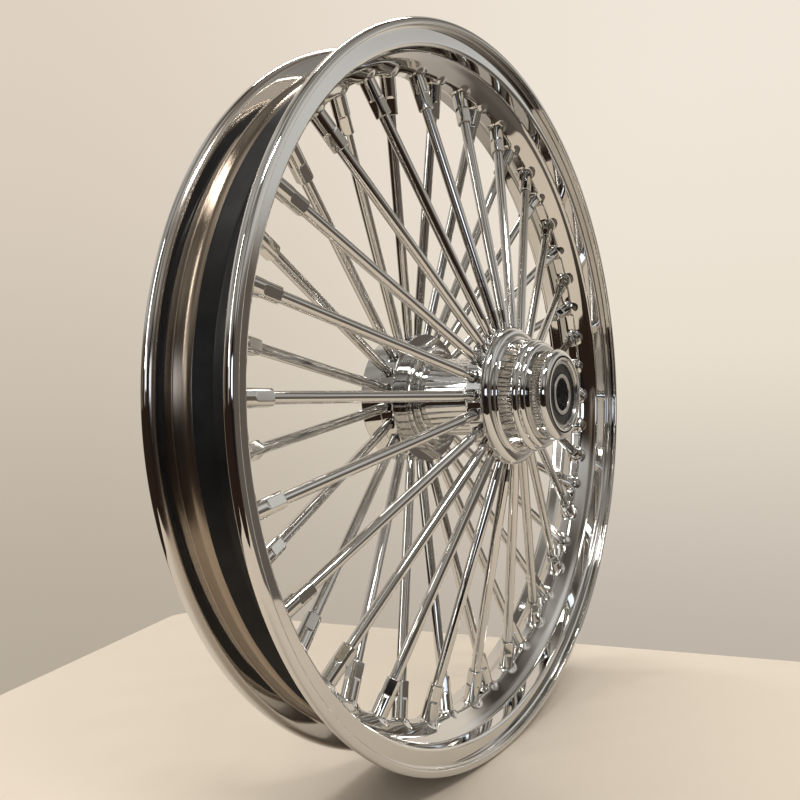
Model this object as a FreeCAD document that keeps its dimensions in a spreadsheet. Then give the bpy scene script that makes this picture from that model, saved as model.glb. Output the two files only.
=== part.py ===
import FreeCAD, Part
import Sketcher
import math
import os

# A laced motorcycle front wheel: a steel drop-centre rim, straight thick spokes in two
# cones, square-flatted nipples, a collared hub and two sealed ball bearings.
#
# Frame: the origin is the wheel's centre, the axle lies along Y and +Z is up. The brake
# disc goes on the +Y (left) side and the stepped hub cover is on the -Y (right) side.
# Millimetres. "Offset" is a distance from the wheel's centre plane along the axle.

DOCUMENT = FreeCAD.newDocument("SpokedWheel")
SHEET = "Sizes"
RIGHT = -1
LEFT = 1

DRIVING_SIZES = {
    # The wheel's own turn about the axle when it is at rest, in degrees
    "rest_turn": -1.85,
    # How far each cut starts outside the surface that it cuts
    "overrun": 2.0,
    # Rim: outside and hub-side surfaces
    "rim_radius": 281.5,
    "rim_half_width": 37.5,
    "lip_end_radius": 2.8,
    "lip_roll_radius": 6.0,
    "lip_crease_radius": 276.4,
    "lip_crease_height": 1.4,
    "lip_crease_offset": 31.9,
    "flange_inside_offset": 28.0,
    "flange_lean": 0.4,
    "flange_outside_offset": 31.0,
    "flange_root_radius": 266.0,
    "flange_root_offset": 30.3,
    "seat_radius": 267.5,
    "seat_corner_radius": 2.0,
    "seat_root_radius": 266.4,
    "seat_root_offset": 16.5,
    "seat_back_radius": 264.3,
    "seat_back_outer_offset": 29.0,
    "seat_back_inner_offset": 18.5,
    "shoulder_radius": 260.6,
    "shoulder_offset": 15.0,
    "well_radius": 256.7,
    "well_half_width": 5.3,
    "well_back_radius": 253.0,
    "well_back_half_width": 5.0,
    "well_ramp_radius": 254.6,
    "well_ramp_offset": 7.3,
    "dimple_radius": 9.2,
    "valve_hole_radius": 4.25,
    "valve_angle": 86.25,
    # Rubber strip in the rim's well
    "strip_thickness": 1.4,
    "strip_edge_radius": 264.4,
    "strip_gap": 0.05,
    "strip_valve_clearance": 0.75,
    # Lacing
    "spokes_per_side": 24,
    "spoke_hub_radius": 54.6,
    "spoke_hub_offset": 40.0,
    "spoke_rim_radius": 247.0,
    "spoke_rim_offset": 3.0,
    "spoke_radius": 4.0,
    "spoke_neck_radius": 3.4,
    "spoke_neck_end": 4.0,
    "spoke_taper_end": 14.0,
    "spoke_head_radius": 4.6,
    "spoke_head_height": 3.0,
    "spoke_head_depth": 5.2,
    "spoke_end_chamfer": 0.8,
    # Nipples, measured along the spoke from the hub's surface
    "nipple_start": 175.5,
    "nipple_radius": 6.0,
    "nipple_flat_half": 5.2,
    "nipple_flat_end": 186.8,
    "nipple_runout": 3.1,
    "nipple_chamfer": 0.5,
    "nipple_bore_radius": 4.05,
    "nipple_bore_end": 197.5,
    "nipple_seat_start": 201.6,
    "nipple_seat_height": 1.6,
    "nipple_head_radius": 7.0,
    "nipple_head_end": 204.2,
    "nipple_slot_width": 2.0,
    "nipple_slot_depth": 1.0,
    "nipple_clearance": 0.2,
    "dimple_crest": 198.4,
    # Hub shell
    "barrel_radius": 32.3,
    "collar_radius": 54.6,
    "collar_inner_offset": 33.5,
    "collar_outer_offset": 46.5,
    "pocket_inner_radius": 41.0,
    "pocket_outer_radius": 48.5,
    "pocket_floor_offset": 36.0,
    "housing_radius": 34.8,
    "hub_bore_radius": 22.0,
    "spoke_hole_radius": 3.6,
    "countersink_radius": 5.0,
    "countersink_depth": 1.6,
    "countersink_mouth": 0.4,
    "spot_face_radius": 4.75,
    "drum_radius": 45.0,
    "drum_offset": 27.6,
    "outer_bead_radius": 42.2,
    "inner_bead_radius": 36.2,
    "bead_split_offset": 23.6,
    "beads_end_offset": 19.6,
    "right_waist_radius": 34.3,
    "right_waist_offset": 83.6,
    "right_end_offset": 89.5,
    "right_end_radius": 35.0,
    "right_end_rounding": 5.5,
    "seat_chamfer": 0.6,
    "register_chamfer": 0.8,
    "left_bead_rounding": 2.6,
    "left_bead_slope": 0.8,
    "left_bead_step": 2.0,
    "left_face_offset": 66.0,
    "left_end_offset": 78.0,
    "register_radius": 28.1,
    # Right hub cover
    "cover_clearance": 0.05,
    "cover_flange_radius": 54.8,
    "cover_flange_offset": 53.3,
    "cover_rounding": 6.4,
    "cover_bevel": 0.4,
    "cover_band_start_radius": 46.2,
    "cover_band_fillet": 2.2,
    "cover_band_root_radius": 44.5,
    "cover_band_root_offset": 55.4,
    "cover_band_end_radius": 43.7,
    "cover_band_end": 65.2,
    "cover_first_bead_start_radius": 43.8,
    "cover_first_bead_end_radius": 40.8,
    "cover_bead_split": 70.5,
    "cover_second_bead_start_radius": 41.1,
    "cover_second_bead_end_radius": 37.0,
    "cover_bead_rounding": 3.7,
    "cover_end_offset": 75.0,
    # Left disc carrier
    "carrier_radius": 54.8,
    "carrier_chamfer": 1.5,
    "disc_bolt_circle_radius": 41.275,
    "disc_bolt_count": 5,
    "disc_bolt_hole_radius": 4.0,
    "disc_bolt_depth": 16.0,
    # Sealed ball bearings, 25 x 52 x 15
    "bearing_bore_radius": 12.5,
    "bearing_outer_radius": 26.0,
    "bearing_width": 15.0,
    "bearing_chamfer": 0.7,
    "right_bearing_offset": 80.5,
    "left_bearing_offset": 69.5,
    "ball_radius": 3.97,
    "ball_count": 9,
    "ball_circle_radius": 19.25,
    "groove_radius": 4.13,
    "groove_gap": 0.05,
    "inner_land_radius": 15.6,
    "inner_shoulder_radius": 16.6,
    "outer_shoulder_radius": 21.9,
    "outer_land_radius": 23.3,
    "land_depth": 2.0,
    "seal_gap": 0.1,
    "seal_recess": 0.6,
    "seal_thickness": 1.3,
    "seal_step": 0.5,
    "seal_edge_bevel": 0.6,
    "seal_lip_bevel": 1.4,
    "cage_inner_radius": 17.4,
    "cage_outer_radius": 21.1,
    "cage_half_width": 5.1,
    "cage_pocket_radius": 4.12,
    # Tube between the two bearings
    "spacer_bore_radius": 12.75,
    "spacer_outer_radius": 15.5,
}


class Size:
    """A length with its value and the sheet formula that gives it."""

    def __init__(self, value, formula):
        self.value = value
        self.formula = formula

    def joined(self, other, sign, result):
        return Size(result, f"({self.formula} {sign} {as_size(other).formula})")

    def __add__(self, other):
        return self.joined(other, "+", self.value + as_size(other).value)

    def __sub__(self, other):
        return self.joined(other, "-", self.value - as_size(other).value)

    def __mul__(self, other):
        return self.joined(other, "*", self.value * as_size(other).value)

    def __truediv__(self, other):
        return self.joined(other, "/", self.value / as_size(other).value)

    def __rsub__(self, other):
        return as_size(other) - self

    def __rtruediv__(self, other):
        return as_size(other) / self

    def __neg__(self):
        return self * -1

    __radd__ = __add__
    __rmul__ = __mul__


def as_size(number):
    if isinstance(number, Size):
        return number
    return Size(float(number), repr(float(number)))


def root(square):
    return Size(math.sqrt(square.value), f"sqrt({square.formula})")


class Sizes:
    """The driving dimensions, each also a cell of the document's spreadsheet."""

    def __init__(self, numbers):
        sheet = DOCUMENT.addObject("Spreadsheet::Sheet", SHEET)
        for row, (name, number) in enumerate(numbers.items(), start=1):
            sheet.set(f"A{row}", str(number))
            sheet.setAlias(f"A{row}", name)
            setattr(self, name, Size(number, f"{SHEET}.{name}"))
        DOCUMENT.recompute()


size = Sizes(DRIVING_SIZES)

# The spoke's line lies in a plane through the axle: it starts on the hub's collar and
# leans towards the centre plane. COSINE and SINE are those of its lean from the radius.
LINE_RISE = size.spoke_rim_radius - size.spoke_hub_radius
LINE_RUN = size.spoke_hub_offset - size.spoke_rim_offset
LINE_LENGTH = root(LINE_RISE * LINE_RISE + LINE_RUN * LINE_RUN)
COSINE = LINE_RISE / LINE_LENGTH
SINE = LINE_RUN / LINE_LENGTH
HALF_PITCH = 180 / size.spokes_per_side


def on_spoke(side, along, across=0):
    """The sketch point at a distance along the spoke's line and across it."""
    radius = size.spoke_hub_radius + along * COSINE + across * SINE
    offset = size.spoke_hub_offset - along * SINE + across * COSINE
    return radius, side * offset


def new_body(name, turn=None):
    """A body with its own label and, on the wheel, its turn about the axle."""
    body = DOCUMENT.addObject("PartDesign::Body", name)
    body.Label = name
    if turn is not None:
        about_axle = FreeCAD.Rotation(FreeCAD.Vector(0, 1, 0), turn.value)
        body.Placement = FreeCAD.Placement(FreeCAD.Vector(), about_axle)
        body.setExpression("Placement.Rotation.Angle", turn.formula)
    return body


def origin_feature(body, role):
    return next(item for item in body.Origin.OriginFeatures if item.Role == role)


def add_edge(sketch, start, end, bend):
    """A line, or an arc of radius |bend| that turns left where bend is positive.
    Returns which ends of the new edge are its start and its finish."""
    first = FreeCAD.Vector(as_size(start[0]).value, as_size(start[1]).value, 0)
    last = FreeCAD.Vector(as_size(end[0]).value, as_size(end[1]).value, 0)
    if bend is None:
        sketch.addGeometry(Part.LineSegment(first, last))
        return 1, 2
    radius = abs(bend.value)
    if bend.value < 0:
        first, last = last, first
    chord = last - first
    towards_centre = FreeCAD.Vector(-chord.y, chord.x, 0).normalize()
    depth = math.sqrt(max(radius ** 2 - (chord.Length / 2) ** 2, 0))
    centre = (first + last) * 0.5 + towards_centre * depth
    angles = [math.atan2(point.y - centre.y, point.x - centre.x) for point in (first, last)]
    circle = Part.Circle(centre, FreeCAD.Vector(0, 0, 1), radius)
    sketch.addGeometry(Part.ArcOfCircle(circle, angles[0], angles[1]))
    return (1, 2) if bend.value > 0 else (2, 1)


def fix_point(sketch, edge, end, point):
    """Holds one end of an edge at the place that the sheet gives it."""
    for kind, coordinate in zip(("DistanceX", "DistanceY"), point):
        coordinate = as_size(coordinate)
        number = sketch.addConstraint(Sketcher.Constraint(kind, edge, end, coordinate.value))
        sketch.setExpression(f"Constraints[{number}]", coordinate.formula)


def draw_outline(sketch, outline):
    """A closed outline of points; a third value in a point curves the edge to it."""
    start_index = sketch.GeometryCount
    ends = []
    for index, point in enumerate(outline):
        bend = point[2] if len(point) == 3 else None
        ends.append(add_edge(sketch, outline[index - 1], point, bend))
        if bend is not None:
            edge = start_index + index
            radius = as_size(bend if bend.value > 0 else -bend)
            number = sketch.addConstraint(Sketcher.Constraint("Radius", edge, radius.value))
            sketch.setExpression(f"Constraints[{number}]", radius.formula)
    for index, point in enumerate(outline):
        edge = start_index + index
        following = start_index + (index + 1) % len(outline)
        next_start = ends[(index + 1) % len(outline)][0]
        sketch.addConstraint(
            Sketcher.Constraint("Coincident", edge, ends[index][1], following, next_start))
        fix_point(sketch, edge, ends[index][1], point)


def new_sketch(body, name, outlines, line=None, turn=None):
    """A sketch on the plane through X and the axle, with an optional turning line.
    Across the sketch is the radius, and up it is the offset along the axle."""
    sketch = body.newObject("Sketcher::SketchObject", name)
    sketch.AttachmentSupport = [(origin_feature(body, "XY_Plane"), "")]
    sketch.MapMode = "FlatFace"
    if turn is not None:
        about_axle = FreeCAD.Rotation(FreeCAD.Vector(0, 1, 0), turn.value)
        sketch.AttachmentOffset = FreeCAD.Placement(FreeCAD.Vector(), about_axle)
        sketch.setExpression("AttachmentOffset.Rotation.Angle", turn.formula)
    if line is not None:
        start, end = [FreeCAD.Vector(as_size(p[0]).value, as_size(p[1]).value, 0) for p in line]
        sketch.addGeometry(Part.LineSegment(start, end), True)
        fix_point(sketch, 0, 1, line[0])
        fix_point(sketch, 0, 2, line[1])
    for outline in outlines:
        draw_outline(sketch, outline)
    return sketch


def turned(body, kind, name, outline, line=None, turn=None):
    """A Revolution or Groove of an outline, about the axle or about its own line."""
    sketch = new_sketch(body, name + "Sketch", [outline], line, turn)
    feature = body.newObject("PartDesign::" + kind, name)
    feature.Profile = sketch
    feature.ReferenceAxis = (sketch, ["V_Axis" if line is None else "Axis0"])
    feature.Angle = 360
    return feature


def round_the_axle(body, name, feature, count, whole_shape=False):
    """Repeats a feature, or the whole shape so far, evenly round the axle."""
    DOCUMENT.recompute()
    pattern = body.newObject("PartDesign::PolarPattern", name)
    if whole_shape:
        pattern.TransformMode = "Whole shape"
    else:
        pattern.Originals = [feature]
    pattern.Axis = (origin_feature(body, "Y_Axis"), [""])
    pattern.Angle = 360
    pattern.setExpression("Occurrences", count.formula)
    body.Tip = pattern
    return pattern


def mirrored(outline):
    """The other half of an outline that is the same on both sides of the centre plane."""
    other = []
    for index in range(len(outline) - 1, -1, -1):
        radius, offset = outline[index][:2]
        after = outline[index + 1] if index + 1 < len(outline) else ()
        bend = (after[2],) if len(after) == 3 else ()
        other.append((radius, -offset) + bend)
    return other


def ring(name, outline, turn=None):
    body = new_body(name, turn)
    turned(body, "Revolution", name + "Turning", outline)
    return body


def rim():
    """The drop-centre rim: a turned blank, dimples pressed towards the hub, the tyre
    channel cut out of it, a seat and hole for each nipple, and the valve's hole."""
    body = new_body("rim", size.rest_turn)
    lip_middle = size.rim_half_width - size.lip_end_radius
    back = [
        (size.well_back_radius, size.well_back_half_width),
        (size.well_ramp_radius, size.well_ramp_offset),
        (size.shoulder_radius, size.shoulder_offset),
        (size.seat_back_radius, size.seat_back_inner_offset),
        (size.seat_back_radius, size.seat_back_outer_offset),
        (size.flange_root_radius, size.flange_root_offset),
        (size.lip_crease_radius - size.lip_crease_height, size.flange_outside_offset),
        (size.lip_crease_radius, size.lip_crease_offset),
        (size.rim_radius - 2 * size.lip_end_radius, lip_middle),
        (size.rim_radius - size.lip_end_radius, size.rim_half_width, size.lip_end_radius),
        (size.rim_radius, lip_middle, size.lip_end_radius),
    ]
    turned(body, "Revolution", "RimBlank", back + mirrored(back))

    crest = size.dimple_crest
    ball_centre = crest + size.dimple_radius
    for side, turn in ((RIGHT, None), (LEFT, HALF_PITCH)):
        line = (on_spoke(side, crest), on_spoke(side, ball_centre))
        dimple = [
            on_spoke(side, crest),
            on_spoke(side, ball_centre, size.dimple_radius) + (-side * size.dimple_radius,),
            on_spoke(side, ball_centre),
        ]
        name = "RightDimple" if side == RIGHT else "LeftDimple"
        feature = turned(body, "Revolution", name, dimple, line, turn)
        round_the_axle(body, name + "s", feature, size.spokes_per_side)

    corner = size.seat_corner_radius
    seat_end = size.flange_inside_offset - size.flange_lean
    channel = [
        (size.well_radius, size.well_half_width),
        (size.seat_root_radius, size.seat_root_offset),
        (size.seat_radius, seat_end - corner),
        (size.seat_radius + corner, seat_end, corner),
        (size.rim_radius - size.lip_roll_radius, size.flange_inside_offset),
        (size.rim_radius, size.flange_inside_offset + size.lip_roll_radius, -size.lip_roll_radius),
        (size.rim_radius + size.overrun, size.flange_inside_offset + size.lip_roll_radius),
    ]
    turned(body, "Groove", "TyreChannel", channel + mirrored(channel))

    hole = size.nipple_radius + size.nipple_clearance
    pocket = size.nipple_head_radius + size.nipple_clearance
    hole_start = crest - size.overrun
    pocket_end = ball_centre + size.dimple_radius
    for side, turn in ((RIGHT, None), (LEFT, HALF_PITCH)):
        line = (on_spoke(side, hole_start), on_spoke(side, pocket_end))
        seat = [
            on_spoke(side, hole_start),
            on_spoke(side, hole_start, hole),
            on_spoke(side, size.nipple_seat_start, hole),
            on_spoke(side, size.nipple_seat_start + size.nipple_seat_height, pocket),
            on_spoke(side, pocket_end, pocket),
            on_spoke(side, pocket_end),
        ]
        name = "RightSeat" if side == RIGHT else "LeftSeat"
        feature = turned(body, "Groove", name, seat, line, turn)
        round_the_axle(body, name + "s", feature, size.spokes_per_side)

    start = size.well_back_radius - size.overrun
    finish = size.well_radius + size.overrun
    valve_line = ((start, as_size(0)), (finish, as_size(0)))
    valve_hole = [
        (start, as_size(0)),
        (finish, as_size(0)),
        (finish, size.valve_hole_radius),
        (start, size.valve_hole_radius),
    ]
    turned(body, "Groove", "ValveHole", valve_hole, valve_line, size.valve_angle)
    return body


def rim_strip():
    """The rubber strip that lines the well over the nipple heads."""
    run = size.seat_root_offset - size.well_half_width
    rise = size.seat_root_radius - size.well_radius
    slope = root(run * run + rise * rise)
    gap = size.strip_gap
    under_radius = size.well_radius + gap
    over_radius = under_radius + size.strip_thickness
    edge_offset = size.well_half_width + (size.strip_edge_radius - under_radius) * run / rise
    edge_rise = size.strip_thickness * run / slope
    edge_run = size.strip_thickness * rise / slope
    corner = edge_offset - edge_run - (size.strip_edge_radius + edge_rise - over_radius) * run / rise
    half = [
        (under_radius, size.well_half_width - gap),
        (size.strip_edge_radius, edge_offset - gap),
        (size.strip_edge_radius + edge_rise, edge_offset - gap - edge_run),
        (over_radius, corner - gap),
    ]
    other = [(radius, -offset) for radius, offset in half]
    body = new_body("rim_strip", size.rest_turn)
    outline = half + other[::-1]
    turned(body, "Revolution", "StripTurning", outline)
    hole = size.valve_hole_radius + size.strip_valve_clearance
    start = under_radius - size.overrun
    finish = over_radius + size.overrun
    line = ((start, as_size(0)), (finish, as_size(0)))
    valve_hole = [line[0], line[1], (finish, hole), (start, hole)]
    turned(body, "Groove", "StripValveHole", valve_hole, line, size.valve_angle)
    return body


def spokes(name, side, turn):
    """One side's spokes: a headed neck through the collar, a taper and a thick shank."""
    body = new_body(name, turn)
    seat = -size.spoke_head_depth
    top = seat - size.spoke_head_height
    outline = [
        on_spoke(side, top),
        on_spoke(side, top, size.spoke_head_radius),
        on_spoke(side, seat, size.spoke_head_radius),
        on_spoke(side, seat, size.spoke_neck_radius),
        on_spoke(side, size.spoke_neck_end, size.spoke_neck_radius),
        on_spoke(side, size.spoke_taper_end, size.spoke_radius),
        on_spoke(side, LINE_LENGTH - size.spoke_end_chamfer, size.spoke_radius),
        on_spoke(side, LINE_LENGTH, size.spoke_radius - size.spoke_end_chamfer),
        on_spoke(side, LINE_LENGTH),
    ]
    line = (on_spoke(side, top), on_spoke(side, LINE_LENGTH))
    turned(body, "Revolution", name + "Turning", outline, line)
    round_the_axle(body, name + "Lacing", None, size.spokes_per_side, whole_shape=True)
    return body


def nipples(name, side, turn):
    """One side's nipples: a barrel with four spanner flats, a bored end for the spoke
    and a slotted head that seats in the rim's dimple."""
    body = new_body(name, turn)
    start = size.nipple_start
    head_start = size.nipple_seat_start + size.nipple_seat_height
    chamfer = size.nipple_chamfer
    outline = [
        on_spoke(side, start, size.nipple_bore_radius),
        on_spoke(side, start, size.nipple_radius - chamfer),
        on_spoke(side, start + chamfer, size.nipple_radius),
        on_spoke(side, size.nipple_seat_start, size.nipple_radius),
        on_spoke(side, head_start, size.nipple_head_radius),
        on_spoke(side, size.nipple_head_end, size.nipple_head_radius),
        on_spoke(side, size.nipple_head_end),
        on_spoke(side, size.nipple_bore_end),
        on_spoke(side, size.nipple_bore_end, size.nipple_bore_radius),
    ]
    line = (on_spoke(side, start), on_spoke(side, size.nipple_head_end))
    turned(body, "Revolution", name + "Turning", outline, line)

    outside = size.nipple_radius + size.overrun
    flat_start = start - size.overrun
    flat = [
        on_spoke(side, flat_start, size.nipple_flat_half),
        on_spoke(side, size.nipple_flat_end, size.nipple_flat_half),
        on_spoke(side, size.nipple_flat_end + size.nipple_runout, outside),
        on_spoke(side, flat_start, outside),
    ]
    flat_cut = body.newObject("PartDesign::Pocket", name + "Flat")
    flat_cut.Profile = new_sketch(body, name + "FlatSketch", [flat], line)
    flat_cut.Midplane = True
    flat_cut.setExpression("Length", (4 * size.nipple_radius).formula)
    flats = body.newObject("PartDesign::PolarPattern", name + "Flats")
    flats.Originals = [flat_cut]
    flats.Axis = (flat_cut.Profile[0], ["Axis0"])
    flats.Angle = 360
    flats.Occurrences = 4
    body.Tip = flats

    slot_floor = size.nipple_head_end - size.nipple_slot_depth
    slot_mouth = size.nipple_head_end + size.overrun
    reach = size.nipple_head_radius + size.overrun
    slot = [
        on_spoke(side, slot_floor, -reach),
        on_spoke(side, slot_floor, reach),
        on_spoke(side, slot_mouth, reach),
        on_spoke(side, slot_mouth, -reach),
    ]
    slot_cut = body.newObject("PartDesign::Pocket", name + "Slot")
    slot_cut.Profile = new_sketch(body, name + "SlotSketch", [slot])
    slot_cut.Midplane = True
    slot_cut.setExpression("Length", size.nipple_slot_width.formula)
    round_the_axle(body, name + "Lacing", None, size.spokes_per_side, whole_shape=True)
    return body


def hub_shell():
    """The hub's one-piece body: a barrel, a drilled collar at each end with a pocket
    for the spoke heads, and a bearing housing beyond each collar."""
    body = new_body("hub_shell", size.rest_turn)
    half_width = size.bearing_width / 2
    right_seat = size.right_bearing_offset - half_width
    left_seat = size.left_bearing_offset - half_width
    bead = size.left_bead_rounding
    slope = size.left_bead_slope
    inner_bead = size.inner_bead_radius
    outer_bead = size.outer_bead_radius
    right = [
        (size.hub_bore_radius, right_seat),
        (size.bearing_outer_radius, right_seat),
        (size.bearing_outer_radius, size.right_end_offset - size.seat_chamfer),
        (size.bearing_outer_radius + size.seat_chamfer, size.right_end_offset),
        (size.right_end_radius - size.right_end_rounding, size.right_end_offset),
        (size.right_end_radius, size.right_end_offset - size.right_end_rounding,
         size.right_end_rounding),
        (size.right_waist_radius, size.right_waist_offset),
        (size.housing_radius, size.cover_end_offset),
        (size.housing_radius, size.collar_outer_offset),
        (size.pocket_inner_radius, size.collar_outer_offset),
        (size.pocket_inner_radius, size.pocket_floor_offset),
        (size.pocket_outer_radius, size.pocket_floor_offset),
        (size.pocket_outer_radius, size.collar_outer_offset),
        (size.collar_radius, size.collar_outer_offset),
        (size.collar_radius, size.collar_inner_offset),
        (size.barrel_radius, size.collar_inner_offset),
    ]
    left = [
        (size.barrel_radius, size.beads_end_offset),
        (inner_bead - slope, size.beads_end_offset),
        (inner_bead, size.bead_split_offset, -bead),
        (outer_bead - size.left_bead_step, size.bead_split_offset),
        (outer_bead, size.drum_offset, -bead),
        (size.drum_radius, size.drum_offset),
        (size.drum_radius, size.collar_inner_offset),
        (size.collar_radius, size.collar_inner_offset),
        (size.collar_radius, size.collar_outer_offset),
        (size.pocket_outer_radius, size.collar_outer_offset),
        (size.pocket_outer_radius, size.pocket_floor_offset),
        (size.pocket_inner_radius, size.pocket_floor_offset),
        (size.pocket_inner_radius, size.collar_outer_offset),
        (size.housing_radius, size.collar_outer_offset),
        (size.housing_radius, size.left_face_offset),
        (size.register_radius, size.left_face_offset),
        (size.register_radius, size.left_end_offset - size.register_chamfer),
        (size.register_radius - size.register_chamfer, size.left_end_offset),
        (size.bearing_outer_radius, size.left_end_offset),
        (size.bearing_outer_radius, left_seat),
        (size.hub_bore_radius, left_seat),
    ]
    outline = [(point[0], -point[1]) + tuple(-bend for bend in point[2:]) for point in right]
    turned(body, "Revolution", "HubTurning", outline + left)

    head_seat = -size.spoke_head_depth
    pocket_side = head_seat - size.spoke_head_height - size.overrun
    for side, turn in ((RIGHT, None), (LEFT, HALF_PITCH)):
        line = (on_spoke(side, pocket_side), on_spoke(side, size.overrun))
        hole = [
            on_spoke(side, pocket_side),
            on_spoke(side, pocket_side, size.spot_face_radius),
            on_spoke(side, head_seat, size.spot_face_radius),
            on_spoke(side, head_seat, size.spoke_hole_radius),
            on_spoke(side, -size.countersink_depth, size.spoke_hole_radius),
            on_spoke(side, size.countersink_mouth, size.countersink_radius),
            on_spoke(side, size.overrun, size.countersink_radius),
            on_spoke(side, size.overrun),
        ]
        name = "RightSpokeHole" if side == RIGHT else "LeftSpokeHole"
        feature = turned(body, "Groove", name, hole, line, turn)
        round_the_axle(body, name + "s", feature, size.spokes_per_side)
    return body


def right_hub_cover():
    """The stepped cover that slides over the right housing and closes its collar."""
    bore = size.housing_radius + size.cover_clearance
    rounding = size.cover_rounding
    bevel = size.cover_bevel
    bead = size.cover_bead_rounding
    outline = [
        (bore, size.collar_outer_offset),
        (size.cover_flange_radius, size.collar_outer_offset),
        (size.cover_flange_radius, size.cover_flange_offset - rounding),
        (size.cover_flange_radius - rounding, size.cover_flange_offset, rounding),
        (size.cover_band_start_radius + bevel, size.cover_flange_offset),
        (size.cover_band_start_radius, size.cover_flange_offset + bevel),
        (size.cover_band_root_radius, size.cover_band_root_offset, -size.cover_band_fillet),
        (size.cover_band_end_radius, size.cover_band_end),
        (size.cover_first_bead_start_radius, size.cover_band_end + bevel),
        (size.cover_first_bead_end_radius, size.cover_bead_split - bevel, bead),
        (size.cover_second_bead_start_radius, size.cover_bead_split + bevel),
        (size.cover_second_bead_end_radius, size.cover_end_offset, bead),
        (bore, size.cover_end_offset),
    ]
    flipped = [(point[0], -point[1]) + tuple(-bend for bend in point[2:]) for point in outline]
    return ring("right_hub_cover", flipped, size.rest_turn)


def left_disc_carrier():
    """The ring that closes the left collar and takes the brake disc's five bolts."""
    bore = size.housing_radius + size.cover_clearance
    chamfer = size.carrier_chamfer
    outline = [
        (bore, size.collar_outer_offset),
        (size.carrier_radius, size.collar_outer_offset),
        (size.carrier_radius, size.left_face_offset - chamfer),
        (size.carrier_radius - chamfer, size.left_face_offset),
        (bore, size.left_face_offset),
    ]
    body = ring("left_disc_carrier", outline, size.rest_turn)
    centre = size.disc_bolt_circle_radius
    floor = size.left_face_offset - size.disc_bolt_depth
    mouth = size.left_face_offset + size.overrun
    line = ((centre, floor), (centre, mouth))
    hole = [
        (centre, floor),
        (centre, mouth),
        (centre + size.disc_bolt_hole_radius, mouth),
        (centre + size.disc_bolt_hole_radius, floor),
    ]
    feature = turned(body, "Groove", "DiscBoltHole", hole, line)
    round_the_axle(body, "DiscBoltHoles", feature, size.disc_bolt_count)
    return body


def outer_race(name, centre, turn):
    """A bearing's outer ring: a ball groove between two shoulders and a land for each seal."""
    half = size.bearing_width / 2
    chamfer = size.bearing_chamfer
    groove_centre = (size.ball_circle_radius + size.ball_radius + size.groove_gap
                     - size.groove_radius)
    drop = size.outer_shoulder_radius - groove_centre
    edge = root(size.groove_radius * size.groove_radius - drop * drop)
    land = half - size.land_depth
    outline = [
        (size.outer_land_radius, centre - half),
        (size.bearing_outer_radius - chamfer, centre - half),
        (size.bearing_outer_radius, centre - half + chamfer),
        (size.bearing_outer_radius, centre + half - chamfer),
        (size.bearing_outer_radius - chamfer, centre + half),
        (size.outer_land_radius, centre + half),
        (size.outer_land_radius, centre + land),
        (size.outer_shoulder_radius, centre + land),
        (size.outer_shoulder_radius, centre + edge),
        (size.outer_shoulder_radius, centre - edge, -size.groove_radius),
        (size.outer_shoulder_radius, centre - land),
        (size.outer_land_radius, centre - land),
    ]
    return ring(name, outline, turn)


def inner_race(name, centre):
    """A bearing's inner ring, which stays still on the axle."""
    half = size.bearing_width / 2
    chamfer = size.bearing_chamfer
    groove_centre = (size.ball_circle_radius - size.ball_radius - size.groove_gap
                     + size.groove_radius)
    rise = groove_centre - size.inner_shoulder_radius
    edge = root(size.groove_radius * size.groove_radius - rise * rise)
    land = half - size.land_depth
    outline = [
        (size.bearing_bore_radius + chamfer, centre - half),
        (size.inner_land_radius, centre - half),
        (size.inner_land_radius, centre - land),
        (size.inner_shoulder_radius, centre - land),
        (size.inner_shoulder_radius, centre - edge),
        (size.inner_shoulder_radius, centre + edge, -size.groove_radius),
        (size.inner_shoulder_radius, centre + land),
        (size.inner_land_radius, centre + land),
        (size.inner_land_radius, centre + half),
        (size.bearing_bore_radius + chamfer, centre + half),
        (size.bearing_bore_radius, centre + half - chamfer),
        (size.bearing_bore_radius, centre - half + chamfer),
    ]
    return ring(name, outline)


def balls(name, centre):
    body = new_body(name)
    middle = size.ball_circle_radius
    radius = size.ball_radius
    line = ((middle - radius, centre), (middle + radius, centre))
    outline = [
        (middle - radius, centre, radius),
        (middle + radius, centre),
        (middle, centre + radius, radius),
    ]
    turned(body, "Revolution", name + "Turning", outline, line)
    round_the_axle(body, name + "Circle", None, size.ball_count, whole_shape=True)
    return body


def cage(name, centre):
    """The moulded ring that keeps the balls apart, with a round pocket for each ball."""
    half = size.cage_half_width
    outline = [
        (size.cage_inner_radius, centre - half),
        (size.cage_outer_radius, centre - half),
        (size.cage_outer_radius, centre + half),
        (size.cage_inner_radius, centre + half),
    ]
    body = ring(name, outline)
    inside = size.cage_inner_radius - size.overrun
    outside = size.cage_outer_radius + size.overrun
    line = ((inside, centre), (outside, centre))
    pocket = [
        (inside, centre),
        (outside, centre),
        (outside, centre + size.cage_pocket_radius),
        (inside, centre + size.cage_pocket_radius),
    ]
    feature = turned(body, "Groove", name + "Pocket", pocket, line)
    round_the_axle(body, name + "Pockets", feature, size.ball_count)
    return body


def seal(name, centre, facing, turn):
    """A bearing's rubber seal, held in the outer ring just inside the bearing's face."""
    face = centre + facing * (size.bearing_width / 2 - size.seal_recess)
    back = face - facing * size.seal_thickness
    step = face - facing * size.seal_step
    lip = size.inner_land_radius + size.seal_gap
    rim_edge = size.outer_land_radius - size.seal_gap
    outline = [
        (lip, back),
        (rim_edge, back),
        (rim_edge, step),
        (rim_edge - size.seal_edge_bevel, face),
        (lip + size.seal_lip_bevel, face),
        (lip, step),
    ]
    return ring(name, outline, turn)


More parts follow.
